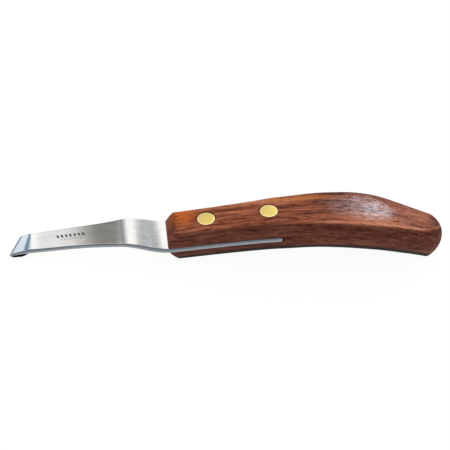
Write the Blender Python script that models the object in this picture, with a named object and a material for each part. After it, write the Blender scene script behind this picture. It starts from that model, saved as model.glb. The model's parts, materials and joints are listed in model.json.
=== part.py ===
"""Drop-blade hoof knife: a hooked steel strip in a slotted hardwood handle, held by two rivets.

Metres. The pieces are shaped in the tang's own frame: X runs from the hook towards the end of the
handle, with zero at the front of the handle; Z is square to the tang, with zero at its middle; the
face with the rivet heads is +Z. An empty then lays the whole knife on the ground, face up.
"""
import math

import bmesh
import bpy
import numpy as np
from mathutils import Vector

# Handle, as two sawn outlines: a side view (top and bottom) and a plan (half width of the flats).
HANDLE_HALF_THICKNESS = 0.0085
HANDLE_STRAIGHT = 0.050
TOP_BEND = ((0.050, 0.0085), (0.075, 0.0062), (0.100, 0.0006), (0.115, -0.0056), (0.134, -0.0144))
BOTTOM_BEND = ((0.050, -0.0085), (0.075, -0.0098), (0.100, -0.0158), (0.115, -0.0224), (0.134, -0.0325))
FLAT_HALF_WIDTH = (
    (0.000, 0.0067), (0.020, 0.0071), (0.040, 0.0078), (0.060, 0.0092), (0.080, 0.0107),
    (0.094, 0.0111), (0.108, 0.0101), (0.118, 0.0087), (0.134, 0.0060),
)
TIP_AT_TOP = 0.1330
TIP_AT_BOTTOM = 0.1297
NOSE_ROUND = 0.0068
SIDE_BULGE = 0.0029
SIDE_LEVELS = 10
NOSE_STEPS = 9
SIDE_STATIONS = 22

# Front of the handle: two slanted facets, given by the depth and height of each facet's two edges.
HANDLE_START = -0.001
UPPER_FACET = ((0.0001, 0.0012), (0.0037, 0.0085))
LOWER_FACET = ((0.0008, -0.0018), (0.0046, -0.0085))

# Steel strip.
TANG_LENGTH = 0.0522
TANG_HALF_THICKNESS = 0.0012
BLADE_HALF_THICKNESS = 0.00105
NECK_START = 0.002
NECK_LENGTH = 0.023
NECK_RISE = 0.0059
BLADE_CLIMB = 0.015
TANG_ROWS = 10
NECK_ROWS = 14
FLAT_ROWS = 9
BLADE_HALF_WIDTH = (
    (-0.068, 0.0052), (-0.058, 0.0055), (-0.045, 0.0060), (-0.033, 0.0067),
    (-0.024, 0.0077), (-0.016, 0.0089), (-0.008, 0.0096), (0.000, 0.0096),
)
ACROSS = (-1.0, -0.6, -0.2, 0.2, 0.55, 1.0)
BEVEL_FROM = 0.55
BEVEL_EDGE = 0.0004
BEVEL_RANGE = (-0.062, -0.022)
BEVEL_FADE = 0.004

# Hook: the blade curves down a little, folds sharply, turns under and ends in a rounded, thin lip.
# Each edge of the strip has its own lengths, so the hook's axis is slanted and the turn is conical.
HOOK_START = {"near": -0.0630, "far": -0.0617}
HOOK_FLAT = {"near": 0.0070, "far": 0.0036}
FOLD_RADIUS = {"near": 0.0009, "far": 0.0009}
TURN_RADIUS = {"near": 0.0040, "far": 0.0034}
LIP_LENGTH = {"near": 0.0042, "far": 0.0020}
FLAT_HEADING = math.radians(6.0)
FOLD_HEADING = math.radians(128.0)
TURN_HEADING = math.radians(178.0)
HOOK_PIECE_STEPS = (4, 6, 9, 6)
HOOK_HALF_THICKNESS = 0.00055
LIP_HALF_THICKNESS = 0.0002
TONGUE_INSET = {"near": 0.24, "far": 0.12}
LIP_ROUNDING = 0.6
LIP_FULLNESS = 0.95

# Rivets: each is a headed pin pressed into a headed tube.
RIVET_PLACES = (("front", 0.0185), ("rear", 0.0478))
HEAD_RADIUS = 0.00415
HEAD_THICKNESS = 0.0020
HEAD_CHAMFER = 0.00015
TUBE_RADIUS = 0.0025
TUBE_TOP = 0.0050
TUBE_BORE_RADIUS = 0.0018
TUBE_BORE_FLOOR = -0.0050
PIN_RADIUS = 0.0015
PIN_END = -0.0030
ROUND_STEPS = 40

GAP = 0.0003
SLOT_END = TANG_LENGTH + 0.0014
SLOT_MARGIN = 0.005
BORE_MARGIN = 0.002

SHARP_ANGLE = math.radians(30.0)
MERGE_DISTANCE = 1e-7
TILT_ROUNDS = 6

STEEL = ((0.62, 0.61, 0.59, 1.0), 0.28, 1.0)
WOOD = ((0.22, 0.07, 0.035, 1.0), 0.38, 0.0)
BRASS = ((0.80, 0.62, 0.25, 1.0), 0.30, 1.0)


def clear_scene():
    for item in list(bpy.data.objects):
        bpy.data.objects.remove(item, do_unlink=True)


def smooth_curve(points, x):
    """Height at x of a smooth curve through the given (x, height) points."""
    xs = np.array([p[0] for p in points])
    ys = np.array([p[1] for p in points])
    slopes = np.gradient(ys, xs)
    x = min(max(x, xs[0]), xs[-1])
    i = min(int(np.searchsorted(xs, x, side="right")) - 1, len(xs) - 2)
    span = xs[i + 1] - xs[i]
    t = (x - xs[i]) / span
    start = (1 + 2 * t) * (1 - t) ** 2 * ys[i] + t * (1 - t) ** 2 * span * slopes[i]
    end = t * t * (3 - 2 * t) * ys[i + 1] - t * t * (1 - t) * span * slopes[i + 1]
    return float(start + end)


def ease(t):
    """Zero to one with flat ends."""
    t = min(max(t, 0.0), 1.0)
    return t * t * (3 - 2 * t)


def make_material(name, look):
    color, roughness, metallic = look
    material = bpy.data.materials.new(name)
    material.use_nodes = True
    shader = material.node_tree.nodes["Principled BSDF"]
    shader.inputs["Base Color"].default_value = color
    shader.inputs["Roughness"].default_value = roughness
    shader.inputs["Metallic"].default_value = metallic
    material.diffuse_color = color
    return material


def make_object(name, verts, faces, root, look=None, round_piece=True):
    mesh = bpy.data.meshes.new(name)
    mesh.from_pydata([tuple(v) for v in verts], [], faces)
    solid = bmesh.new()
    solid.from_mesh(mesh)
    bmesh.ops.remove_doubles(solid, verts=solid.verts, dist=MERGE_DISTANCE)
    bmesh.ops.recalc_face_normals(solid, faces=solid.faces)
    solid.to_mesh(mesh)
    solid.free()
    if round_piece:
        mesh.shade_smooth()
        mesh.set_sharp_from_angle(angle=SHARP_ANGLE)
    piece = bpy.data.objects.new(name, mesh)
    bpy.context.collection.objects.link(piece)
    piece.parent = root
    if look is not None:
        mesh.materials.append(make_material(name + "_material", look))
    return piece


def mark_cutter(piece):
    piece.hide_render = True
    piece.display_type = "WIRE"


def cut(piece, cutter):
    modifier = piece.modifiers.new("cut_" + cutter.name, "BOOLEAN")
    modifier.operation = "DIFFERENCE"
    modifier.solver = "EXACT"
    modifier.object = cutter


def turned(name, profile, root, look=None):
    """Solid turned about Z from (radius, height) points that start and end on the axis."""
    verts = []
    rings = []
    for radius, height in profile:
        if radius == 0.0:
            rings.append([len(verts)] * ROUND_STEPS)
            verts.append((0.0, 0.0, height))
            continue
        rings.append(list(range(len(verts), len(verts) + ROUND_STEPS)))
        for k in range(ROUND_STEPS):
            angle = 2 * math.pi * k / ROUND_STEPS
            verts.append((radius * math.cos(angle), radius * math.sin(angle), height))
    faces = []
    for low, high in zip(rings, rings[1:]):
        for k in range(ROUND_STEPS):
            after = (k + 1) % ROUND_STEPS
            corners = (low[k], low[after], high[after], high[k])
            faces.append(tuple(dict.fromkeys(corners)))
    return make_object(name, verts, faces, root, look)


# ---------------------------------------------------------------- handle

def handle_top(x):
    return HANDLE_HALF_THICKNESS if x <= HANDLE_STRAIGHT else smooth_curve(TOP_BEND, x)


def handle_bottom(x):
    return -HANDLE_HALF_THICKNESS if x <= HANDLE_STRAIGHT else smooth_curve(BOTTOM_BEND, x)


def handle_half_width(x):
    """Half width across the bulged sides, at the tang."""
    return smooth_curve(FLAT_HALF_WIDTH, x) + SIDE_BULGE


def handle_outline(tip):
    """Plan outline from the front, round a nose that ends at tip, and back, with outward directions."""
    nose_start = tip - NOSE_ROUND
    near = []
    for x in np.linspace(HANDLE_START, nose_start, SIDE_STATIONS):
        near.append((float(x), -smooth_curve(FLAT_HALF_WIDTH, float(x))))
    for k in range(1, NOSE_STEPS):
        angle = 0.5 * math.pi * k / NOSE_STEPS
        x = nose_start + NOSE_ROUND * math.sin(angle)
        near.append((x, -smooth_curve(FLAT_HALF_WIDTH, x) * math.cos(angle)))
    near.append((tip, 0.0))
    far = [(x, -y) for x, y in reversed(near[:-1])]
    points = [Vector(p) for p in near + far]
    outward = []
    for i, point in enumerate(points):
        step = points[min(i + 1, len(points) - 1)] - points[max(i - 1, 0)]
        outward.append(Vector((step.y, -step.x)).normalized())
    return points, outward


def make_handle(root):
    verts = []
    for level in range(SIDE_LEVELS + 1):
        share = level / SIDE_LEVELS
        points, outward = handle_outline(TIP_AT_BOTTOM + share * (TIP_AT_TOP - TIP_AT_BOTTOM))
        bulge = SIDE_BULGE * (1 - (2 * share - 1) ** 2)
        for point, direction in zip(points, outward):
            place = point + direction * bulge
            low = handle_bottom(point.x)
            verts.append((place.x, place.y, low + share * (handle_top(point.x) - low)))
    faces = []
    count = len(points)
    for level in range(SIDE_LEVELS):
        for i in range(count - 1):
            base = level * count + i
            faces.append((base, base + 1, base + 1 + count, base + count))
    for level in (0, SIDE_LEVELS):
        start = level * count
        for i in range(count // 2):
            near = start + i
            far = start + count - 1 - i
            faces.append(tuple(dict.fromkeys((near, near + 1, far - 1, far))))
    near_edge = [level * count for level in range(SIDE_LEVELS + 1)]
    far_edge = [level * count + count - 1 for level in reversed(range(SIDE_LEVELS + 1))]
    faces.append(tuple(near_edge + far_edge))
    handle = make_object("handle", verts, faces, root, WOOD)
    for facet in (UPPER_FACET, LOWER_FACET):
        slice_front(handle.data, facet)
    handle.data.set_sharp_from_angle(angle=SHARP_ANGLE)
    return handle


def slice_front(mesh, facet):
    """Cut one slanted facet across the front of the handle."""
    (x1, z1), (x2, z2) = facet
    normal = Vector((-abs(z2 - z1), 0.0, math.copysign(x2 - x1, z2)))
    solid = bmesh.new()
    solid.from_mesh(mesh)
    geometry = solid.verts[:] + solid.edges[:] + solid.faces[:]
    result = bmesh.ops.bisect_plane(
        solid, geom=geometry, dist=MERGE_DISTANCE, plane_co=(x1, 0.0, z1), plane_no=normal, clear_outer=True)
    border = [e for e in result["geom_cut"] if isinstance(e, bmesh.types.BMEdge)]
    bmesh.ops.contextual_create(solid, geom=border)
    bmesh.ops.recalc_face_normals(solid, faces=solid.faces)
    solid.to_mesh(mesh)
    solid.free()


def make_slot_cutter(root):
    half = TANG_HALF_THICKNESS + GAP
    side = handle_half_width(SLOT_END) + SLOT_MARGIN
    front = HANDLE_START - SLOT_MARGIN
    verts = [(x, y, z) for x in (front, SLOT_END) for y in (-side, side) for z in (-half, half)]
    faces = [(0, 1, 3, 2), (4, 6, 7, 5), (0, 4, 5, 1), (2, 3, 7, 6), (0, 2, 6, 4), (1, 5, 7, 3)]
    cutter = make_object("slot_cutter", verts, faces, root, round_piece=False)
    mark_cutter(cutter)
    return cutter


# ---------------------------------------------------------------- blade

def strip_height(x):
    """Height of the strip's middle surface ahead of the hook."""
    beyond = NECK_START - x
    return NECK_RISE * ease(beyond / NECK_LENGTH) + BLADE_CLIMB * max(0.0, beyond - NECK_LENGTH)


def strip_half_thickness(x):
    change = ease((NECK_START - x) / NECK_LENGTH)
    return TANG_HALF_THICKNESS + change * (BLADE_HALF_THICKNESS - TANG_HALF_THICKNESS)


def strip_half_width(x):
    return handle_half_width(x) if x > 0.0 else smooth_curve(BLADE_HALF_WIDTH, x)


def hook_edge(side):
    """Side view of one edge of the hook, as points along arcs that each end at a given heading."""
    x = HOOK_START[side]
    z = strip_height(x)
    pieces = (
        (HOOK_FLAT[side], FLAT_HEADING),
        (FOLD_RADIUS[side] * (FOLD_HEADING - FLAT_HEADING), FOLD_HEADING),
        (TURN_RADIUS[side] * (TURN_HEADING - FOLD_HEADING), TURN_HEADING),
        (LIP_LENGTH[side], TURN_HEADING),
    )
    points = [(x, z)]
    heading = 0.0
    for (length, end_heading), steps in zip(pieces, HOOK_PIECE_STEPS):
        turn = (end_heading - heading) / steps
        for _ in range(steps):
            x -= length / steps * math.cos(heading + 0.5 * turn)
            z -= length / steps * math.sin(heading + 0.5 * turn)
            heading += turn
            points.append((x, z))
    return points


def tongue_shares(step):
    """Near and far ends of the tongue across the hook's edges, as shares from -1 to 1."""
    flat, fold, turn, lip = HOOK_PIECE_STEPS
    turned = min(max((step - flat) / (fold + turn), 0.0), 1.0)
    along_lip = max(step - flat - fold - turn, 0) / lip
    rounding = LIP_ROUNDING * (1 - math.sqrt(1 - LIP_FULLNESS * along_lip ** 2))
    return -1 + TONGUE_INSET["near"] * turned + rounding, 1 - TONGUE_INSET["far"] * turned - rounding


def hook_half_thickness(step):
    flat, fold, turn, lip = HOOK_PIECE_STEPS
    if step <= flat:
        return BLADE_HALF_THICKNESS + step / flat * (HOOK_HALF_THICKNESS - BLADE_HALF_THICKNESS)
    thinning = max(step - flat - fold, 0) / (turn + lip)
    return HOOK_HALF_THICKNESS + thinning * (LIP_HALF_THICKNESS - HOOK_HALF_THICKNESS)


def strip_rows():
    """Rows across the strip, tang end first: (near point, far point, half thickness, shares)."""
    rows = []
    neck_end = NECK_START - NECK_LENGTH
    along = np.linspace(TANG_LENGTH, NECK_START, TANG_ROWS).tolist()
    along += np.linspace(NECK_START, neck_end, NECK_ROWS).tolist()[1:]
    along += np.linspace(neck_end, HOOK_START["far"], FLAT_ROWS).tolist()[1:-1]
    for x in along:
        half = strip_half_width(x)
        height = strip_height(x)
        rows.append((Vector((x, -half, height)), Vector((x, half, height)), strip_half_thickness(x), (-1, 1)))
    half = strip_half_width(HOOK_START["near"])
    edges = zip(hook_edge("near"), hook_edge("far"))
    for step, ((near_x, near_z), (far_x, far_z)) in enumerate(edges):
        near = Vector((near_x, -half, near_z))
        far = Vector((far_x, half, far_z))
        rows.append((near, far, hook_half_thickness(step), tongue_shares(step)))
    return rows


def bevel_share(x):
    """How much of the ground edge bevel there is at x."""
    low, high = BEVEL_RANGE
    return min(ease((x - low) / BEVEL_FADE), ease((high - x) / BEVEL_FADE))


def middle_surface(rows):
    grid = []
    for near, far, _, (first, last) in rows:
        row = []
        for v in ACROSS:
            share = 0.5 + 0.5 * (first + (last - first) * 0.5 * (v + 1))
            row.append(near.lerp(far, share))
        grid.append(row)
    return grid


def surface_normal(grid, i, j):
    before = grid[max(i - 1, 0)][j]
    after = grid[min(i + 1, len(grid) - 1)][j]
    left = grid[i][max(j - 1, 0)]
    right = grid[i][min(j + 1, len(ACROSS) - 1)]
    return (right - left).cross(after - before).normalized()


def make_blade(root):
    rows = strip_rows()
    grid = middle_surface(rows)
    columns = len(ACROSS)
    outer = []
    inner = []
    for i, row in enumerate(grid):
        half = rows[i][2]
        for j, point in enumerate(row):
            normal = surface_normal(grid, i, j)
            ground = max(0.0, (ACROSS[j] - BEVEL_FROM) / (1 - BEVEL_FROM)) * bevel_share(point.x)
            depth = half - ground * (2 * half - BEVEL_EDGE)
            outer.append(point + normal * half)
            inner.append(point - normal * depth)
    verts = outer + inner
    offset = len(outer)
    faces = []
    for i in range(len(grid) - 1):
        for j in range(columns - 1):
            a = i * columns + j
            quad = (a, a + 1, a + 1 + columns, a + columns)
            faces.append(quad)
            faces.append(tuple(offset + n for n in reversed(quad)))
        for j in (0, columns - 1):
            a = i * columns + j
            faces.append((a, a + columns, a + columns + offset, a + offset))
    for i in (0, len(grid) - 1):
        for j in range(columns - 1):
            a = i * columns + j
            faces.append((a, a + 1, a + 1 + offset, a + offset))
    return make_object("blade", verts, faces, root, STEEL)


# ---------------------------------------------------------------- rivets

def make_bore_cutter(label, x, root):
    seat = HANDLE_HALF_THICKNESS - HEAD_THICKNESS - GAP
    out = HANDLE_HALF_THICKNESS + BORE_MARGIN
    wide = HEAD_RADIUS + GAP
    narrow = TUBE_RADIUS + GAP
    profile = ((0.0, -out), (wide, -out), (wide, -seat), (narrow, -seat),
               (narrow, seat), (wide, seat), (wide, out), (0.0, out))
    cutter = turned("bore_cutter_" + label, profile, root)
    cutter.location.x = x
    mark_cutter(cutter)
    return cutter


def make_rivet(label, x, root):
    face = HANDLE_HALF_THICKNESS
    under = face - HEAD_THICKNESS
    rim = HEAD_RADIUS - HEAD_CHAMFER
    pin = ((0.0, PIN_END), (PIN_RADIUS, PIN_END), (PIN_RADIUS, under), (HEAD_RADIUS, under),
           (HEAD_RADIUS, face - HEAD_CHAMFER), (rim, face), (0.0, face))
    tube = ((0.0, -face), (rim, -face), (HEAD_RADIUS, -face + HEAD_CHAMFER), (HEAD_RADIUS, -under),
            (TUBE_RADIUS, -under), (TUBE_RADIUS, TUBE_TOP), (TUBE_BORE_RADIUS, TUBE_TOP),
            (TUBE_BORE_RADIUS, TUBE_BORE_FLOOR), (0.0, TUBE_BORE_FLOOR))
    male = turned("rivet_male_" + label, pin, root, BRASS)
    female = turned("rivet_female_" + label, tube, root, BRASS)
    male.location.x = x
    female.location.x = x
    return [male, female]


# ---------------------------------------------------------------- assembly

def world_points(pieces):
    bpy.context.view_layer.update()
    return np.array([piece.matrix_world @ v.co for piece in pieces for v in piece.data.vertices])


def lay_on_ground(root, pieces):
    """Tilt the knife until hook and handle end are level, then centre it on the ground."""
    points = world_points(pieces)
    slope = 0.0
    for _ in range(TILT_ROUNDS):
        height = points[:, 2] - slope * points[:, 0]
        hook = points[np.argmin(np.where(points[:, 0] < 0.0, height, 1.0))]
        end = points[np.argmin(np.where(points[:, 0] > 0.0, height, 1.0))]
        slope = (end[2] - hook[2]) / (end[0] - hook[0])
    root.rotation_euler.y = math.atan(slope)
    points = world_points(pieces)
    low = points.min(axis=0)
    high = points.max(axis=0)
    root.location = (-0.5 * (low[0] + high[0]), -0.5 * (low[1] + high[1]), -low[2])


def main():
    clear_scene()
    root = bpy.data.objects.new("knife_frame", None)
    bpy.context.collection.objects.link(root)
    handle = make_handle(root)
    blade = make_blade(root)
    pieces = [handle, blade]
    cut(handle, make_slot_cutter(root))
    for label, x in RIVET_PLACES:
        bore = make_bore_cutter(label, x, root)
        cut(handle, bore)
        cut(blade, bore)
        pieces += make_rivet(label, x, root)
    lay_on_ground(root, pieces)


main()
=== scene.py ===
"""Looks of a drop-blade hoof knife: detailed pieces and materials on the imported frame.

Shapes are in metres, in the tang's own frame: X runs from the hook to the end of the handle, with
zero at the front of the handle; Z is square to the tang; the face with the rivet heads is +Z.
Material patterns work in millimetres of that same frame, so grain and brushing follow the knife.
"""
import json
import math

import bmesh
import bpy
import numpy as np
from mathutils import Matrix, Vector

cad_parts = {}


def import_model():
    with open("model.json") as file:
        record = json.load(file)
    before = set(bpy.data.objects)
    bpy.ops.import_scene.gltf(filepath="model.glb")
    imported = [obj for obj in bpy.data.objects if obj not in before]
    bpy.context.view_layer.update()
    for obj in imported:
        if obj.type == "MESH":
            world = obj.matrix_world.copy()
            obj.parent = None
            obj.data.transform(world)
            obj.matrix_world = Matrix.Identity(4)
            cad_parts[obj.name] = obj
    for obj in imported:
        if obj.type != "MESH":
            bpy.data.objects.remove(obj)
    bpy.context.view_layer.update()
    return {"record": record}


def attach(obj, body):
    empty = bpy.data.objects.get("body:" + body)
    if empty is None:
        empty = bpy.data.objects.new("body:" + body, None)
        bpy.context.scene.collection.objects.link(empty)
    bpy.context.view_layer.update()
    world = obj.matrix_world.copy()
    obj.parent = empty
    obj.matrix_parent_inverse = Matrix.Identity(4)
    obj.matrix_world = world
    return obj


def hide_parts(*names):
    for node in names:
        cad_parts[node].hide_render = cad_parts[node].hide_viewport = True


# Handle outlines. The nose and the far side differ slightly from the CAD, the rest is the same.
HANDLE_HALF_THICKNESS = 0.0085
HANDLE_STRAIGHT = 0.050
TOP_BEND = ((0.050, 0.0085), (0.075, 0.0062), (0.100, 0.0006), (0.115, -0.0056), (0.134, -0.0144))
BOTTOM_BEND = ((0.050, -0.0085), (0.075, -0.0098), (0.100, -0.0158), (0.115, -0.0224), (0.134, -0.0325))
FLAT_HALF_WIDTH = (
    (0.000, 0.0067), (0.020, 0.0071), (0.040, 0.0078), (0.060, 0.0092), (0.080, 0.0107),
    (0.094, 0.0111), (0.108, 0.0101), (0.118, 0.0087), (0.134, 0.0060),
)
TIP_AT_TOP = 0.1331
TIP_AT_BOTTOM = 0.1300
NOSE_ROUND = {"near": (0.0053, 0.0135), "far": (0.0045, 0.0034)}
FAR_WIDENING = 0.036
FAR_TAPER = 0.06
FAR_FADE = (0.104, 0.122)
SIDE_BULGE = 0.0029
UPPER_FACET = ((0.0001, 0.0012), (0.0037, 0.0085))
LOWER_FACET = ((0.0008, -0.0018), (0.0046, -0.0085))
MOUNT_X = 0.033

# Handle detail.
CREASE_RADIUS = ((0.000, 0.0011), (0.030, 0.0009), (0.070, 0.0005), (0.134, 0.0005))
CREASE_LEAN = math.radians(31.0)
CREASE_STEPS = 6
SIDE_ROWS = 22
SIDE_STATIONS = 110
NOSE_STEPS = 18
FRONT_CORNER = 0.0009
FRONT_POINTS = 6
CORNER_POINTS = 5
FRONT_SKEW = 0.04
SKEW_FADE = (0.005, 0.014)
FLAT_MARGIN = 0.0010

# Painted places of the handle: the two ends of each soft step.
# Painted shade on the front facets.
FACET_BEHIND = (0.0004, 0.0012)
FACET_ACROSS = (0.0075, 0.0085)
# Painted shade on the sides of the handle.
SIDE_FADE = (0.00005, 0.0007)
# Painted highlight along the near crease.
CREASE_INSET = 0.0002
CREASE_FADE = (0.0001, 0.0010)
CREASE_BELOW = (0.0, 0.0007)
CREASE_ALONG = (0.058, 0.085)
TOP_FADE = (0.0, 0.0009)
# Painted shadow lines along the bottom, the far top edge and the nose: strength and soft steps.
BOTTOM_SHADOW_LINE = {"strength": 0.97, "above": (0.0026, 0.0046), "across": (0.002, 0.004)}
FAR_SHADOW_LINE = {"strength": 0.85, "across": (0.0, 0.003), "outside": (-0.0003, 0.0001), "along": (0.050, 0.100)}
NOSE_SHADOW_LINE = {
    "strength": 0.75, "across": (-0.0042, -0.0026), "along": (0.1235, 0.1265), "below": (0.0003, 0.0008),
}

# Steel strip, as in the CAD.
TANG_LENGTH = 0.0522
TANG_HALF_THICKNESS = 0.0012
BLADE_HALF_THICKNESS = 0.00105
NECK_START = 0.002
NECK_LENGTH = 0.023
NECK_RISE = 0.0059
BLADE_CLIMB = 0.015
BLADE_HALF_WIDTH = (
    (-0.068, 0.0052), (-0.058, 0.0055), (-0.045, 0.0060), (-0.033, 0.0067),
    (-0.024, 0.0077), (-0.016, 0.0089), (-0.008, 0.0096), (0.000, 0.0096),
)
BEVEL_FROM = 0.55
BEVEL_EDGE = 0.0004
BEVEL_RANGE = (-0.062, -0.022)
BEVEL_FADE = 0.004
HOOK_START = {"near": -0.0630, "far": -0.0617}
HOOK_FLAT = {"near": 0.0070, "far": 0.0036}
FOLD_RADIUS = {"near": 0.0009, "far": 0.0009}
TURN_RADIUS = {"near": 0.0040, "far": 0.0034}
LIP_LENGTH = {"near": 0.0042, "far": 0.0020}
FLAT_HEADING = math.radians(6.0)
FOLD_HEADING = math.radians(128.0)
TURN_HEADING = math.radians(178.0)
HOOK_PIECE_STEPS = (20, 30, 36, 24)
HOOK_HALF_THICKNESS = 0.00055
LIP_HALF_THICKNESS = 0.0002
TONGUE_INSET = {"near": 0.24, "far": 0.12}
LIP_ROUNDING = 0.6
LIP_FULLNESS = 0.95

# Strip detail.
CRISP_BEND = 0.35
CROWN_MIDDLE = -0.040
CROWN_REACH = 0.018
CROWN_HEIGHT = 0.00022
EARLY_BEND = 2.4
EARLY_BEND_START = -0.0565
ACROSS_COUNT = 25
STRIP_CORNER = 0.00016
CORNER_LIMIT = 0.45
CORNER_STEPS = 4
TANG_ROWS = 30
NECK_ROWS = 70
FLAT_ROWS = 50
TANG_TIP_ROUND = 0.0006
TANG_TIP_ROWS = 6
TANG_TIP_THICKNESS = 0.25
# Kinds of strip faces; the last two carry painted shadow in the hook and a painted reflection on its fold.
FACE, EDGE, HOOK_SHADOW, FOLD_REFLECTION = range(4)

# Rivets, as in the CAD, with a slightly crowned face and a rounded rim.
RIVET_PLACES = (("front", 0.0185), ("rear", 0.0478))
HEAD_RADIUS = 0.00415
HEAD_THICKNESS = 0.0020
TUBE_RADIUS = 0.0025
TUBE_TOP = 0.0050
TUBE_BORE_RADIUS = 0.0018
TUBE_BORE_FLOOR = -0.0050
PIN_RADIUS = 0.0015
PIN_END = -0.0030
ROUND_STEPS = 96
HEAD_CROWN = 0.00010
RIM_RADIUS = 0.00022
RIM_STEPS = 5
CROWN_STEPS = 8

# The visible joints are tighter than the CAD's clearances.
SLOT_GAP = 0.00007
BORE_GAP = 0.00007
SLOT_END = TANG_LENGTH + 0.0008

GRAIN_BEND = 0.0031
MM = 1000.0
SHARP_ANGLE = math.radians(30.0)
MERGE_DISTANCE = 1e-7

# Marks on the wood and the steel, in millimetres of the tang's frame: (along, across).
ORANGE_PATCH = (7.0, 4.5)
ORANGE_STREAK = {"middle": (62.0, 7.6), "radii": (22.0, 2.6)}
GLOSS_PATCH = {"middle": (91.0, 1.0), "radii": (19.0, 9.0)}
TICK_SLANT = 0.30
TICK_ROWS = (
    {"pitch": 1.9, "bar": 0.52, "middle": (43.2, 1.1), "reach": (6.6, 0.95), "ink": 0.90},
    {"pitch": 1.2, "bar": 0.45, "middle": (43.6, -1.2), "reach": (4.8, 0.45), "ink": 0.60},
)

# Stage. The camera is given in the tang's frame.
FLOOR_SIZE = 40.0
CAMERA_PLACE = (-0.01418, -0.30255, 0.28730)
CAMERA_RIGHT = (0.98747, -0.15619, -0.02246)
CAMERA_UP = (0.12273, 0.67075, 0.73146)
CAMERA_LENS = 71.93

# Studio walls by direction, in degrees from straight behind the knife: (direction, colour).
STUDIO_WALLS = (
    (-180, (0.24, 0.25, 0.27)), (-100, (0.32, 0.33, 0.36)), (-60, (0.75, 0.80, 0.9)),
    (-34, (1.20, 1.30, 1.45)), (-28.8, (1.20, 1.30, 1.45)),
    (-27.9, (0.45, 0.62, 0.80)), (-25.5, (0.15, 0.27, 0.42)), (-21, (0.20, 0.34, 0.46)),
    (-19.5, (0.80, 0.84, 0.92)), (-18.3, (1.55, 1.54, 1.52)), (-16, (1.45, 1.43, 1.41)),
    (-14.5, (1.12, 1.09, 1.07)), (-12.2, (1.08, 1.05, 1.03)),
    (-10.6, (0.34, 0.33, 0.32)), (-4, (0.26, 0.265, 0.255)), (3, (0.75, 0.76, 0.76)),
    (9, (1.40, 1.40, 1.39)), (21, (1.45, 1.45, 1.44)), (23.5, (0.50, 0.52, 0.52)),
    (31, (0.46, 0.48, 0.48)), (50, (0.8, 0.85, 0.9)),
    (100, (0.36, 0.37, 0.40)), (180, (0.24, 0.25, 0.27)),
)
OVERHEAD_RISE = (0.76, 0.95)
OVERHEAD_COLOUR = (1.75, 1.75, 1.78, 1.0)
LOW_RISE = (0.02, 0.30)
LOW_TINT = (0.55, 0.56, 0.58, 1.0)
WINDOW_LEFT = (27.5, 30.0)
WINDOW_RIGHT = (48.0, 44.0)
WINDOW_SILL = (0.22, 0.32)
WINDOW_HEAD = (0.62, 0.54)
WINDOW_COLOUR = (6.8, 8.0, 9.2, 1.0)


# ---------------------------------------------------------------- curves

def smooth_curve(points, x):
    """Height at x of a smooth curve through the given (x, height) points."""
    xs = np.array([p[0] for p in points])
    ys = np.array([p[1] for p in points])
    slopes = np.gradient(ys, xs)
    x = min(max(x, xs[0]), xs[-1])
    i = min(int(np.searchsorted(xs, x, side="right")) - 1, len(xs) - 2)
    span = xs[i + 1] - xs[i]
    t = (x - xs[i]) / span
    start = (1 + 2 * t) * (1 - t) ** 2 * ys[i] + t * (1 - t) ** 2 * span * slopes[i]
    end = t * t * (3 - 2 * t) * ys[i + 1] - t * t * (1 - t) * span * slopes[i + 1]
    return float(start + end)


def ease(t):
    """Zero to one with flat ends."""
    t = min(max(t, 0.0), 1.0)
    return t * t * (3 - 2 * t)


def between(x, low, high):
    """Zero below low, one above high, smooth between."""
    return ease((x - low) / (high - low))


# ---------------------------------------------------------------- nodes

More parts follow.
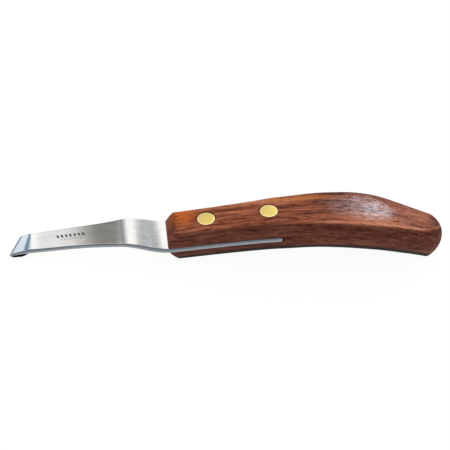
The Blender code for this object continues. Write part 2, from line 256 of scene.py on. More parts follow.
class Graph:
    """Short calls for building one node tree."""

    def __init__(self, tree):
        self.tree = tree
        tree.nodes.clear()

    def add(self, kind, **settings):
        node = self.tree.nodes.new(kind)
        for key, value in settings.items():
            setattr(node, key, value)
        return node

    def put(self, socket, value):
        if isinstance(value, bpy.types.NodeSocket):
            self.tree.links.new(value, socket)
        elif value is not None:
            socket.default_value = value

    def math(self, operation, a, b=None):
        node = self.add("ShaderNodeMath", operation=operation)
        for socket, value in zip(node.inputs, (a, b)):
            self.put(socket, value)
        return node.outputs[0]

    def vector(self, operation, a, b=None):
        node = self.add("ShaderNodeVectorMath", operation=operation)
        self.put(node.inputs[0], a)
        self.put(node.inputs[1], b)
        return node.outputs["Value"] if operation in ("LENGTH", "DISTANCE") else node.outputs[0]

    def step(self, value, low, high, out_low=0.0, out_high=1.0):
        node = self.add("ShaderNodeMapRange", interpolation_type="SMOOTHSTEP")
        for socket, item in zip(node.inputs, (value, low, high, out_low, out_high)):
            self.put(socket, item)
        return node.outputs[0]

    def mix(self, share, a, b, blend="MIX"):
        node = self.add("ShaderNodeMix", data_type="RGBA", blend_type=blend)
        self.put(node.inputs[0], share)
        self.put(node.inputs[6], a)
        self.put(node.inputs[7], b)
        return node.outputs[2]

    def split(self, vector):
        node = self.add("ShaderNodeSeparateXYZ")
        self.put(node.inputs[0], vector)
        return node.outputs[0], node.outputs[1], node.outputs[2]

    def join(self, x, y, z):
        node = self.add("ShaderNodeCombineXYZ")
        for socket, value in zip(node.inputs, (x, y, z)):
            self.put(socket, value)
        return node.outputs[0]

    def noise(self, vector, scale, detail=3.0, roughness=0.55):
        """Noise stretched by a scale for each axis."""
        node = self.add("ShaderNodeTexNoise")
        self.put(node.inputs["Vector"], self.vector("MULTIPLY", vector, scale))
        self.put(node.inputs["Scale"], 1.0)
        self.put(node.inputs["Detail"], detail)
        self.put(node.inputs["Roughness"], roughness)
        return node

    def ramp(self, value, stops):
        node = self.add("ShaderNodeValToRGB")
        node.color_ramp.interpolation = "LINEAR"
        elements = node.color_ramp.elements
        while len(elements) > 1:
            elements.remove(elements[-1])
        elements[0].position = stops[0][0]
        elements[0].color = (*stops[0][1], 1.0)
        for position, colour in stops[1:]:
            elements.new(position).color = (*colour, 1.0)
        self.put(node.inputs[0], value)
        return node.outputs[0]

    def millimetres(self, knife):
        """Place in the tang's frame, in millimetres, for a piece whose mesh is in the row frame."""
        node = self.add("ShaderNodeMapping", vector_type="TEXTURE")
        self.put(node.inputs["Vector"], self.add("ShaderNodeTexCoord").outputs["Object"])
        node.inputs["Location"].default_value = knife.to_translation()
        node.inputs["Rotation"].default_value = knife.to_euler()
        node.inputs["Scale"].default_value = (1 / MM, 1 / MM, 1 / MM)
        return node.outputs[0]

    def attribute(self, name):
        return self.add("ShaderNodeAttribute", attribute_name=name).outputs["Fac"]

    def bump(self, height, distance, strength=1.0, normal=None):
        node = self.add("ShaderNodeBump")
        self.put(node.inputs["Height"], height)
        self.put(node.inputs["Distance"], distance)
        self.put(node.inputs["Strength"], strength)
        self.put(node.inputs["Normal"], normal)
        return node.outputs[0]


def new_material(name):
    material = bpy.data.materials.new(name)
    material.use_nodes = True
    graph = Graph(material.node_tree)
    shader = graph.add("ShaderNodeBsdfPrincipled")
    output = graph.add("ShaderNodeOutputMaterial")
    material.node_tree.links.new(shader.outputs[0], output.inputs[0])
    return material, graph, shader.inputs


# ---------------------------------------------------------------- materials

def wood_material(knife):
    """Oiled red hardwood: fibres, pores, orange marks and a glossy patch, with a painted highlight along the
    crease, painted shade on the sides and front facets, and painted shadow lines along the edges.
    """
    material, g, shader = new_material("red_hardwood")
    place = g.millimetres(knife)
    x, y, z = g.split(place)
    bend = g.math("MAXIMUM", g.math("SUBTRACT", x, MM * HANDLE_STRAIGHT), 0.0)
    level = g.math("ADD", z, g.math("MULTIPLY", g.math("MULTIPLY", bend, bend), GRAIN_BEND))
    straight = g.join(x, y, level)
    wobble = g.noise(straight, (0.022, 0.07, 0.07), detail=2.0).outputs["Color"]
    wobble = g.vector("SUBTRACT", wobble, (0.5, 0.5, 0.5))
    grain = g.vector("ADD", straight, g.vector("MULTIPLY", wobble, (0.0, 5.0, 5.0)))
    broad = g.noise(grain, (0.018, 0.17, 0.17), detail=2.0).outputs["Fac"]
    fibre = g.noise(grain, (0.045, 0.80, 0.80), detail=5.0, roughness=0.65).outputs["Fac"]
    fine = g.noise(grain, (0.16, 2.6, 2.6), detail=3.0, roughness=0.6).outputs["Fac"]
    tone = g.math("ADD", g.math("MULTIPLY", broad, 0.34), g.math("MULTIPLY", fibre, 0.40))
    tone = g.math("ADD", tone, g.math("MULTIPLY", fine, 0.26))
    colour = g.ramp(tone, (
        (0.40, (0.085, 0.020, 0.010)), (0.46, (0.250, 0.066, 0.030)),
        (0.53, (0.410, 0.125, 0.058)), (0.60, (0.600, 0.225, 0.110)),
    ))
    orange = g.vector("DISTANCE", g.join(x, y, 0.0), (*ORANGE_PATCH, 0.0))
    colour = g.mix(g.step(orange, 3.0, 10.0, 0.70, 0.0), colour, (0.66, 0.150, 0.022, 1.0))
    streak = g.step(from_middle(g, x, y, ORANGE_STREAK), 0.3, 1.1, 0.55, 0.0)
    streak = g.math("MULTIPLY", streak, g.attribute("top"))
    colour = g.mix(streak, colour, (0.62, 0.200, 0.055, 1.0))
    # Painted highlight: the near crease lighter, broken up by the fibres.
    crease_highlight = g.math("MULTIPLY", g.attribute("crease"), g.step(fibre, 0.35, 0.60, 0.45, 1.0))
    colour = g.mix(crease_highlight, colour, (0.78, 0.31, 0.17, 1.0))
    # Painted shade: the sides darker than the top.
    side = g.mix(1.0, colour, (0.42, 0.44, 0.60, 1.0), "MULTIPLY")
    colour = g.mix(g.attribute("side"), colour, side)
    # Painted shade: the front facets darker.
    facet = g.mix(1.0, colour, (0.62, 0.62, 0.66, 1.0), "MULTIPLY")
    colour = g.mix(g.attribute("facet"), colour, facet)
    pore_noise = g.noise(straight, (0.30, 1.20, 1.20), detail=3.0, roughness=0.6).outputs["Fac"]
    pores = g.step(pore_noise, 0.55, 0.64)
    colour = g.mix(g.math("MULTIPLY", pores, 0.65), colour, (0.045, 0.014, 0.009, 1.0))
    colour = g.mix(ring_marks(g, x, y), colour, (0.030, 0.010, 0.006, 1.0))
    # Painted shadow: near-black lines along the bottom, the far top edge and the nose.
    colour = g.mix(g.attribute("dark"), colour, (0.004, 0.002, 0.002, 1.0))
    g.put(shader["Base Color"], colour)
    g.put(shader["Roughness"], g.math("ADD", g.math("MULTIPLY", fine, 0.30), 0.35))
    relief = g.math("SUBTRACT", g.math("MULTIPLY", fine, 0.5), pores)
    g.put(shader["Normal"], g.bump(relief, 0.00009, 0.6))
    g.put(shader["Coat Normal"], g.bump(pore_noise, 0.00005, 0.4))
    shader["Specular IOR Level"].default_value = 0.03
    polished = g.step(from_middle(g, x, y, GLOSS_PATCH), 0.55, 1.15, 1.0, 0.06)
    polished = g.math("MULTIPLY", polished, g.attribute("top"))
    polished = g.math("MULTIPLY", polished, g.math("SUBTRACT", 1.0, g.attribute("dark")))
    smear = g.noise(straight, (0.14, 1.1, 1.1), detail=3.0, roughness=0.6).outputs["Fac"]
    polished = g.math("MULTIPLY", polished, g.step(smear, 0.34, 0.56, 0.35, 1.0))
    dashes = g.step(pore_noise, 0.49, 0.61, 1.0, 0.10)
    g.put(shader["Coat Weight"], g.math("MULTIPLY", polished, dashes))
    shader["Coat Roughness"].default_value = 0.27
    return material


def from_middle(g, x, y, patch):
    """Distance from the middle of an oval patch, one at its rim."""
    along, across = [g.math("DIVIDE", g.math("SUBTRACT", place, middle), radius)
                     for place, middle, radius in zip((x, y), patch["middle"], patch["radii"])]
    return g.vector("LENGTH", g.join(along, across, 0.0))


def nearest_rivet(g, x):
    """Distance along the handle to the nearest rivet, in millimetres."""
    beside = [g.math("ABSOLUTE", g.math("SUBTRACT", x, MM * place)) for _, place in RIVET_PLACES]
    return g.math("MINIMUM", *beside)


def ring_marks(g, x, y):
    """Dark line in the wood round each rivet head."""
    radius = g.vector("LENGTH", g.join(nearest_rivet(g, x), y, 0.0))
    return g.step(radius, 4.30, 4.62, 0.85, 0.0)


def steel_material(knife):
    """Satin steel brushed lengthwise, polished at the hook, with two plain rows of etched ticks."""
    material, g, shader = new_material("brushed_steel")
    place = g.millimetres(knife)
    x, y, _ = g.split(place)
    brush = g.noise(place, (0.05, 9.0, 3.0), detail=4.0, roughness=0.65).outputs["Fac"]
    patch = g.noise(place, (0.10, 0.25, 0.25), detail=3.0).outputs["Fac"]
    colour = g.ramp(brush, ((0.30, (0.60, 0.59, 0.58)), (0.70, (0.76, 0.755, 0.745))))
    shaded = g.math("MULTIPLY", g.step(x, -41.0, -29.0), g.step(x, -20.0, -24.0))
    colour = g.mix(shaded, colour, g.mix(1.0, colour, (0.72, 0.72, 0.71, 1.0), "MULTIPLY"))
    ticks = tick_marks(g, x, y)
    colour = g.mix(ticks, colour, (0.035, 0.035, 0.04, 1.0))
    g.put(shader["Base Color"], colour)
    shader["Metallic"].default_value = 1.0
    polish = g.step(x, -60.5, -56.0)
    satin = g.math("ADD", g.math("MULTIPLY", patch, 0.08), 0.12)
    rough = g.math("ADD", g.math("MULTIPLY", polish, g.math("SUBTRACT", satin, 0.07)), 0.07)
    g.put(shader["Roughness"], rough)
    shader["Anisotropic"].default_value = 0.95
    g.put(shader["Tangent"], g.join(0.0, 1.0, 0.0))
    waves = g.bump(g.math("MULTIPLY", patch, polish), 0.00006, 1.0)
    g.put(shader["Normal"], g.bump(brush, 0.000010, 0.5, waves))
    return material


def tick_row(g, x, y, row):
    """One inside the bars of a row of slanted ticks."""
    along = g.math("ADD", x, g.math("MULTIPLY", y, TICK_SLANT))
    bar = g.math("LESS_THAN", g.math("FRACT", g.math("DIVIDE", along, row["pitch"])), row["bar"])
    ahead, across = row["middle"]
    length, height = row["reach"]
    level = g.math("LESS_THAN", g.math("ABSOLUTE", g.math("SUBTRACT", y, across)), height)
    span = g.math("LESS_THAN", g.math("ABSOLUTE", g.math("ADD", x, ahead)), length)
    return g.math("MULTIPLY", g.math("MULTIPLY", bar, level), span)


def tick_marks(g, x, y):
    """A long row of plain ticks above a shorter, finer one."""
    return g.math("ADD", *[g.math("MULTIPLY", tick_row(g, x, y, row), row["ink"]) for row in TICK_ROWS])


def edge_material(knife):
    """The strip's sawn edges: duller and bluer than its faces, with painted shade along their upper corner.
    """
    material, g, shader = new_material("steel_edge")
    streak = g.noise(g.millimetres(knife), (0.25, 3.0, 6.0), detail=4.0).outputs["Fac"]
    colour = g.ramp(streak, ((0.30, (0.29, 0.31, 0.33)), (0.70, (0.44, 0.465, 0.485))))
    # Painted shade along the upper corner of the edges.
    colour = g.mix(g.attribute("rim"), colour, g.mix(1.0, colour, (0.34, 0.38, 0.42, 1.0), "MULTIPLY"))
    g.put(shader["Base Color"], colour)
    shader["Metallic"].default_value = 0.9
    g.put(shader["Roughness"], g.math("ADD", g.math("MULTIPLY", streak, 0.2), 0.3))
    g.put(shader["Normal"], g.bump(streak, 0.00002, 0.5))
    return material


def fold_reflection_material(knife):
    """Painted reflection: dark blue steel over the fold of the hook."""
    material, g, shader = new_material("painted_fold_reflection")
    tint = g.noise(g.millimetres(knife), (0.8, 0.3, 0.8), detail=3.0).outputs["Fac"]
    g.put(shader["Base Color"], g.ramp(tint, ((0.3, (0.030, 0.055, 0.090)), (0.7, (0.065, 0.115, 0.180)))))
    shader["Metallic"].default_value = 1.0
    g.put(shader["Roughness"], g.math("ADD", g.math("MULTIPLY", tint, 0.2), 0.2))
    g.put(shader["Normal"], g.bump(tint, 0.00002, 0.5))
    return material


def hook_shadow_material(knife):
    """Painted shadow: near-black steel in and under the curl of the hook, and on the near edge of its turn
    and lip.
    """
    material, g, shader = new_material("hook_painted_shadow")
    scale = g.noise(g.millimetres(knife), (0.9, 0.9, 0.9), detail=4.0).outputs["Fac"]
    g.put(shader["Base Color"], g.ramp(scale, ((0.3, (0.002, 0.002, 0.003)), (0.7, (0.009, 0.009, 0.011)))))
    shader["Specular IOR Level"].default_value = 0.15
    g.put(shader["Roughness"], g.math("ADD", g.math("MULTIPLY", scale, 0.3), 0.45))
    g.put(shader["Normal"], g.bump(scale, 0.00004, 0.5))
    return material


def brass_material(knife):
    """Flush-sanded brass with fine lengthwise scratches and a painted highlight round the rim."""
    material, g, shader = new_material("sanded_brass")
    place = g.millimetres(knife)
    x, y, _ = g.split(place)
    scratch = g.noise(place, (0.35, 9.0, 1.0), detail=4.0, roughness=0.6).outputs["Fac"]
    cloud = g.noise(place, (0.55, 0.55, 0.55), detail=3.0).outputs["Fac"]
    colour = g.mix(cloud, (0.70, 0.53, 0.13, 1.0), (0.88, 0.66, 0.21, 1.0))
    radius = g.vector("LENGTH", g.join(nearest_rivet(g, x), y, 0.0))
    # Painted highlight: a brighter ring just inside the rim.
    colour = g.mix(g.step(radius, 3.4, 3.9), colour, (1.0, 0.82, 0.45, 1.0))
    g.put(shader["Base Color"], colour)
    shader["Metallic"].default_value = 1.0
    g.put(shader["Roughness"], g.math("ADD", g.math("MULTIPLY", scratch, 0.25), 0.30))
    g.put(shader["Normal"], g.bump(scratch, 0.00002, 0.4))
    return material


# ---------------------------------------------------------------- meshes

def mesh_object(name, verts, faces, materials, face_materials=None):
    mesh = bpy.data.meshes.new(name)
    mesh.from_pydata([tuple(v) for v in verts], [], faces)
    for material in materials:
        mesh.materials.append(material)
    if face_materials is not None:
        mesh.polygons.foreach_set("material_index", face_materials)
    mesh.shade_smooth()
    mesh.set_sharp_from_angle(angle=SHARP_ANGLE)
    piece = bpy.data.objects.new(name, mesh)
    bpy.context.scene.collection.objects.link(piece)
    return piece


def fix_normals(piece):
    solid = bmesh.new()
    solid.from_mesh(piece.data)
    bmesh.ops.remove_doubles(solid, verts=solid.verts, dist=MERGE_DISTANCE)
    bmesh.ops.recalc_face_normals(solid, faces=solid.faces)
    solid.to_mesh(piece.data)
    solid.free()


def carve(piece, cutters):
    """Cut the cutters out of the piece, and remove them."""
    for cutter in cutters:
        modifier = piece.modifiers.new("carve", "BOOLEAN")
        modifier.operation = "DIFFERENCE"
        modifier.solver = "EXACT"
        modifier.object = cutter
    bpy.context.view_layer.update()
    evaluated = piece.evaluated_get(bpy.context.evaluated_depsgraph_get())
    mesh = bpy.data.meshes.new_from_object(evaluated)
    piece.modifiers.clear()
    piece.data = mesh
    for cutter in cutters:
        bpy.data.objects.remove(cutter)
    mesh.shade_smooth()
    mesh.set_sharp_from_angle(angle=SHARP_ANGLE)


def turned(name, profile, materials):
    """Solid turned about Z from (radius, height) points that start and end on the axis."""
    verts = []
    rings = []
    for radius, height in profile:
        if radius == 0.0:
            rings.append([len(verts)] * ROUND_STEPS)
            verts.append((0.0, 0.0, height))
            continue
        rings.append(list(range(len(verts), len(verts) + ROUND_STEPS)))
        for k in range(ROUND_STEPS):
            angle = 2 * math.pi * k / ROUND_STEPS
            verts.append((radius * math.cos(angle), radius * math.sin(angle), height))
    faces = []
    for low, high in zip(rings, rings[1:]):
        for k in range(ROUND_STEPS):
            after = (k + 1) % ROUND_STEPS
            faces.append(tuple(dict.fromkeys((low[k], low[after], high[after], high[k]))))
    piece = mesh_object(name, verts, faces, materials)
    fix_normals(piece)
    return piece


# ---------------------------------------------------------------- handle

def handle_top(x):
    return HANDLE_HALF_THICKNESS if x <= HANDLE_STRAIGHT else smooth_curve(TOP_BEND, x)


def handle_bottom(x):
    return -HANDLE_HALF_THICKNESS if x <= HANDLE_STRAIGHT else smooth_curve(BOTTOM_BEND, x)


def handle_half_width(x):
    """Half width across the bulged sides, at the tang."""
    return smooth_curve(FLAT_HALF_WIDTH, x) + SIDE_BULGE


def facet_depth(facet, height):
    """How far back a front facet lies at a height."""
    (x1, z1), (x2, z2) = facet
    return x1 + (height - z1) * (x2 - x1) / (z2 - z1)


def section_levels():
    """Rows of the handle's section, bottom to top: (share of the side, share of the crease beside it)."""
    lower = [(0.0, 1.0 - k / CREASE_STEPS) for k in range(CREASE_STEPS + 1)]
    side = [(k / SIDE_ROWS, 0.0) for k in range(1, SIDE_ROWS)]
    upper = [(1.0, k / CREASE_STEPS) for k in range(CREASE_STEPS + 1)]
    return [(0.0, None)] + lower + side + upper + [(1.0, None)]


def section_place(share, turn, x):
    """(outward offset, share of the height) of a section row at x, with the creases rounded."""
    height = handle_top(x) - handle_bottom(x)
    radius = smooth_curve(CREASE_RADIUS, x)
    reach = radius / math.tan(0.5 * (0.5 * math.pi + CREASE_LEAN))
    drop = reach * math.cos(CREASE_LEAN) / height
    if 0.0 < share < 1.0:
        up = drop + share * (1 - 2 * drop)
        return SIDE_BULGE * (1 - (2 * up - 1) ** 2), up
    if turn is None:
        offset, fall = -reach - FLAT_MARGIN, 0.0
    else:
        angle = CREASE_LEAN + turn * (0.5 * math.pi - CREASE_LEAN)
        offset = -reach + radius * math.cos(angle)
        fall = radius * (1 - math.sin(angle)) / height
    return offset, (1 - fall) if share == 1.0 else fall


def outline_row(share, turn, half):
    """One half of one row, from the middle of the front to the tip of the nose, drawn on the near side."""
    offset, up = section_place(share, turn, 0.0)
    height = HANDLE_HALF_THICKNESS * (2 * up - 1)
    front = max(facet_depth(UPPER_FACET, height), facet_depth(LOWER_FACET, height))
    if share in (0.0, 1.0):
        front = facet_depth(UPPER_FACET if share else LOWER_FACET, HANDLE_HALF_THICKNESS * (2 * share - 1))
        front -= offset
    side = smooth_curve(FLAT_HALF_WIDTH, front) + offset
    row = [(front, -(side - FRONT_CORNER) * k / FRONT_POINTS, height) for k in range(FRONT_POINTS + 1)]
    for k in range(1, CORNER_POINTS + 1):
        angle = 0.5 * math.pi * k / CORNER_POINTS
        x = front + FRONT_CORNER * (1 - math.cos(angle))
        row.append((x, -(side - FRONT_CORNER + FRONT_CORNER * math.sin(angle)), height))
    tip = TIP_AT_BOTTOM + up * (TIP_AT_TOP - TIP_AT_BOTTOM)
    low_round, high_round = NOSE_ROUND[half]
    nose_round = low_round + up * (high_round - low_round)
    nose_start = tip - nose_round
    flat = []
    for x in np.linspace(front + FRONT_CORNER, nose_start, SIDE_STATIONS):
        flat.append(Vector((float(x), -smooth_curve(FLAT_HALF_WIDTH, float(x)))))
    for k in range(1, NOSE_STEPS + 1):
        angle = 0.5 * math.pi * k / NOSE_STEPS
        x = nose_start + nose_round * math.sin(angle)
        across = smooth_curve(FLAT_HALF_WIDTH, x) * math.cos(angle) if k < NOSE_STEPS else 0.0
        flat.append(Vector((x, -across)))
    for i in range(1, len(flat)):
        point = flat[i]
        after = flat[i + 1] if i + 1 < len(flat) else Vector((point.x, -flat[i - 1].y))
        run = after - flat[i - 1]
        outward = Vector((run.y, -run.x)).normalized()
        if i == len(flat) - 1:
            outward = Vector((1.0, 0.0))
        offset, up = section_place(share, turn, point.x)
        place = point + outward * offset
        low = handle_bottom(point.x)
        row.append((place.x, place.y, low + up * (handle_top(point.x) - low)))
    return row


def skewed(place):
    """The front is sawn slightly out of square."""
    x, y, z = place
    fade = 1 - between(x, *SKEW_FADE)
    return (x + FRONT_SKEW * fade * (y - smooth_curve(FLAT_HALF_WIDTH, 0.0)), y, z)


def widened(place):
    """Place mirrored to the far side, a little wider than the near one and narrower at the nose."""
    x, y, z = place
    fade = between(x, *FAR_FADE)
    return x, -y * (1 + FAR_WIDENING * (1 - fade) - FAR_TAPER * fade), z


def make_handle(materials):
    rows = []
    for share, turn in section_levels():
        near = [skewed(p) for p in outline_row(share, turn, "near")]
        far = [skewed(widened(p)) for p in outline_row(share, turn, "far")[1:-1]]
        rows.append(near + list(reversed(far)))
    count = len(rows[0])
    verts = [place for row in rows for place in row]
    faces = []
    for level in range(len(rows) - 1):
        for i in range(count):
            after = (i + 1) % count
            base = level * count
            faces.append((base + i, base + after, base + count + after, base + count + i))
    first_side = FRONT_POINTS + CORNER_POINTS
    for base in (0, (len(rows) - 1) * count):
        front = [base + i % count for i in range(-first_side, first_side + 1)]
        faces.append(tuple(front))
        for i in range(first_side, count // 2):
            across = count - i
            corners = (base + i, base + i + 1, base + (across - 1) % count, base + across % count)
            faces.append(tuple(dict.fromkeys(corners)))
    handle = mesh_object("handle_shell", verts, faces, materials)
    fix_normals(handle)
    carve(handle, [slot_cutter()] + [bore_cutter(x, BORE_GAP) for _, x in RIVET_PLACES])
    paint_handle(handle.data)
    return handle


def handle_masks(place):
    """Masks for the wood at a place: painted shade on the sides, painted highlight on the crease, flat top,
    painted shadow along the edges, painted shade on the front facets.
    """
    x, y, z = place
    low = handle_bottom(x)
    high = handle_top(x)
    below = high - z
    height = min(max(z, -HANDLE_HALF_THICKNESS), HANDLE_HALF_THICKNESS)
    behind = x - max(facet_depth(UPPER_FACET, height), facet_depth(LOWER_FACET, height))
    # Painted shade on the front facets.
    facet = (1 - between(behind, *FACET_BEHIND)) * (1 - between(abs(y), *FACET_ACROSS))
    # Painted shade on the sides.
    side = between(min(z - low, below), *SIDE_FADE) * (1 - facet)
    inset = smooth_curve(FLAT_HALF_WIDTH, x) - abs(y)
    # Painted highlight along the near crease, towards the rear.
    crease_highlight = (1 - between(abs(inset - CREASE_INSET), *CREASE_FADE)) * (1 - between(below, *CREASE_BELOW))
    crease = crease_highlight * between(x, *CREASE_ALONG) if y < 0 else 0.0
    top = 1 - between(below, *TOP_FADE)
    # Painted shadow lines along the bottom, the far top edge and the nose.
    bottom_shadow = (1 - between(z - low, *BOTTOM_SHADOW_LINE["above"])) * between(abs(y), *BOTTOM_SHADOW_LINE["across"])
    far_shadow = between(y, *FAR_SHADOW_LINE["across"]) * between(-inset, *FAR_SHADOW_LINE["outside"])
    far_shadow *= between(x, *FAR_SHADOW_LINE["along"])
    nose_shadow = between(y, *NOSE_SHADOW_LINE["across"]) * between(x, *NOSE_SHADOW_LINE["along"])
    nose_shadow *= between(below, *NOSE_SHADOW_LINE["below"])
    dark = max(BOTTOM_SHADOW_LINE["strength"] * bottom_shadow, FAR_SHADOW_LINE["strength"] * far_shadow,
               NOSE_SHADOW_LINE["strength"] * nose_shadow)
    return side, crease, top, dark, facet


def paint_handle(mesh):
    # Masks of painted shade (side, dark, facet), of a painted highlight (crease) and of the flat top.
    values = [handle_masks(vert.co) for vert in mesh.vertices]
    for name, column in zip(("side", "crease", "top", "dark", "facet"), zip(*values)):
        mesh.attributes.new(name, "FLOAT", "POINT").data.foreach_set("value", column)


def slot_cutter():
    half = TANG_HALF_THICKNESS + SLOT_GAP
    side = handle_half_width(SLOT_END) + HANDLE_HALF_THICKNESS
    verts = [(x, y, z) for x in (-side, SLOT_END) for y in (-side, side) for z in (-half, half)]
    faces = [(0, 1, 3, 2), (4, 6, 7, 5), (0, 4, 5, 1), (2, 3, 7, 6), (0, 2, 6, 4), (1, 5, 7, 3)]
    cutter = mesh_object("slot_cutter", verts, faces, [])
    fix_normals(cutter)
    return cutter


def bore_cutter(x, gap):
    seat = HANDLE_HALF_THICKNESS - HEAD_THICKNESS - gap
    out = HANDLE_HALF_THICKNESS + HEAD_THICKNESS
    wide = HEAD_RADIUS + gap
    narrow = TUBE_RADIUS + gap
    profile = ((0.0, -out), (wide, -out), (wide, -seat), (narrow, -seat),
               (narrow, seat), (wide, seat), (wide, out), (0.0, out))
    cutter = turned("bore_cutter", profile, [])
    cutter.location.x = x
    return cutter


# ---------------------------------------------------------------- steel strip

def strip_height(x):
    """Height of the strip's middle surface ahead of the hook."""
    beyond = NECK_START - x
    height = NECK_RISE * ease(beyond / NECK_LENGTH) + BLADE_CLIMB * max(0.0, beyond - NECK_LENGTH)
    from_crown = abs(x - CROWN_MIDDLE) / CROWN_REACH
    if from_crown < 1:
        height += CROWN_HEIGHT * math.cos(0.5 * math.pi * from_crown) ** 2
    return height - EARLY_BEND * max(0.0, EARLY_BEND_START - x) ** 2


def strip_half_thickness(x):
    change = ease((NECK_START - x) / NECK_LENGTH)
    half = TANG_HALF_THICKNESS + change * (BLADE_HALF_THICKNESS - TANG_HALF_THICKNESS)
    into_tip = max(0.0, (x - TANG_LENGTH + TANG_TIP_ROUND) / TANG_TIP_ROUND)
    rounding = math.sqrt(max(0.0, 1 - into_tip ** 2))
    return half * (TANG_TIP_THICKNESS + (1 - TANG_TIP_THICKNESS) * rounding)


def strip_half_width(x):
    return handle_half_width(x) if x > 0.0 else smooth_curve(BLADE_HALF_WIDTH, x)


def hook_edge(side):
    """Side view of one edge of the hook, as points along arcs that each end at a given heading."""
    x = HOOK_START[side]
    z = strip_height(x)
    pieces = (
        (HOOK_FLAT[side], FLAT_HEADING),
        (FOLD_RADIUS[side] * (FOLD_HEADING - FLAT_HEADING), FOLD_HEADING),
        (TURN_RADIUS[side] * (TURN_HEADING - FOLD_HEADING), TURN_HEADING),
        (LIP_LENGTH[side], TURN_HEADING),
    )
    points = [(x, z)]
    heading = 0.0
    for piece, ((length, end_heading), steps) in enumerate(zip(pieces, HOOK_PIECE_STEPS)):
        start_heading = heading
        for k in range(steps):
            share = (k + 0.5) / steps
            if piece == 0:
                share = ease(share / CRISP_BEND)
            middle = start_heading + share * (end_heading - start_heading)
            x -= length / steps * math.cos(middle)
            z -= length / steps * math.sin(middle)
            points.append((x, z))
        heading = end_heading
    return points


def tongue_shares(step):
    """Near and far ends of the tongue across the hook's edges, as shares from -1 to 1."""
    flat, fold, turn, lip = HOOK_PIECE_STEPS
    turned_share = min(max((step - flat) / (fold + turn), 0.0), 1.0)
    along_lip = max(step - flat - fold - turn, 0) / lip
    rounding = LIP_ROUNDING * (1 - math.sqrt(1 - LIP_FULLNESS * along_lip ** 2))
    near = -1 + TONGUE_INSET["near"] * turned_share + rounding
    far = 1 - TONGUE_INSET["far"] * turned_share - rounding
    return near, far


def hook_half_thickness(step):
    flat, fold, turn, lip = HOOK_PIECE_STEPS
    if step <= flat:
        return BLADE_HALF_THICKNESS + step / flat * (HOOK_HALF_THICKNESS - BLADE_HALF_THICKNESS)
    thinning = max(step - flat - fold, 0) / (turn + lip)
    return HOOK_HALF_THICKNESS + thinning * (LIP_HALF_THICKNESS - HOOK_HALF_THICKNESS)


def strip_rows():
    """Rows across the strip, tang end first: (near point, far point, half thickness, shares)."""
    rows = []
    neck_end = NECK_START - NECK_LENGTH
    along = np.linspace(TANG_LENGTH, TANG_LENGTH - TANG_TIP_ROUND, TANG_TIP_ROWS).tolist()
    along += np.linspace(TANG_LENGTH - TANG_TIP_ROUND, NECK_START, TANG_ROWS).tolist()[1:]
    along += np.linspace(NECK_START, neck_end, NECK_ROWS).tolist()[1:]
    along += np.linspace(neck_end, HOOK_START["far"], FLAT_ROWS).tolist()[1:-1]
    for x in along:
        half = strip_half_width(x)
        height = strip_height(x)
        near = Vector((x, -half, height))
        far = Vector((x, half, height))
        rows.append((near, far, strip_half_thickness(x), (-1, 1)))
    half = strip_half_width(HOOK_START["near"])
    edges = zip(hook_edge("near"), hook_edge("far"))
    for step, ((near_x, near_z), (far_x, far_z)) in enumerate(edges):
        near = Vector((near_x, -half, near_z))
        far = Vector((far_x, half, far_z))
        rows.append((near, far, hook_half_thickness(step), tongue_shares(step)))
    return rows


def bevel_share(x):
    """How much of the ground edge bevel there is at x."""
    low, high = BEVEL_RANGE
    return min(ease((x - low) / BEVEL_FADE), ease((high - x) / BEVEL_FADE))


def strip_grid(rows):
    """Middle surface and its normals, row by row."""
    grid = []
    for near, far, _, (first, last) in rows:
        shares = [0.5 + 0.5 * (first + (last - first) * k / (ACROSS_COUNT - 1)) for k in range(ACROSS_COUNT)]
        grid.append([near.lerp(far, share) for share in shares])
    normals = []
    for i, row in enumerate(grid):
        before = grid[max(i - 1, 0)]
        after = grid[min(i + 1, len(grid) - 1)]
        line = []
        for j in range(ACROSS_COUNT):
            left = row[max(j - 1, 0)]
            right = row[min(j + 1, ACROSS_COUNT - 1)]
            line.append((right - left).cross(after[j] - before[j]).normalized())
        normals.append(line)
    return grid, normals


def edge_arc(point, normal, outward, top, bottom):
    """Rounded edge from the top face down to the bottom face."""
    radius = min(STRIP_CORNER, CORNER_LIMIT * (top + bottom))
    quarter = [0.5 * math.pi * k / CORNER_STEPS for k in range(CORNER_STEPS + 1)]
    arc = []
    for up, depth, angles in ((1, top, reversed(quarter)), (-1, bottom, quarter)):
        for angle in angles:
            inward = radius * (math.cos(angle) - 1)
            height = depth - radius + radius * math.sin(angle)
            arc.append(point + outward * inward + normal * (up * height))
    return arc


def strip_loop(points, normals, half):
    """One closed section: top from near to far, far edge, bottom from far to near, near edge."""
    count = len(points)
    across = (points[-1] - points[0]).normalized()
    depths = []
    for j, point in enumerate(points):
        place = 2 * j / (count - 1) - 1
        ground = max(0.0, (place - BEVEL_FROM) / (1 - BEVEL_FROM)) * bevel_share(point.x)
        depths.append(half - ground * (2 * half - BEVEL_EDGE))
    loop = [points[j] + normals[j] * half for j in range(1, count - 1)]
    loop += edge_arc(points[-1], normals[-1], across, half, depths[-1])
    loop += [points[j] - normals[j] * depths[j] for j in range(count - 2, 0, -1)]
    loop += reversed(edge_arc(points[0], normals[0], -across, half, depths[0]))
    return loop


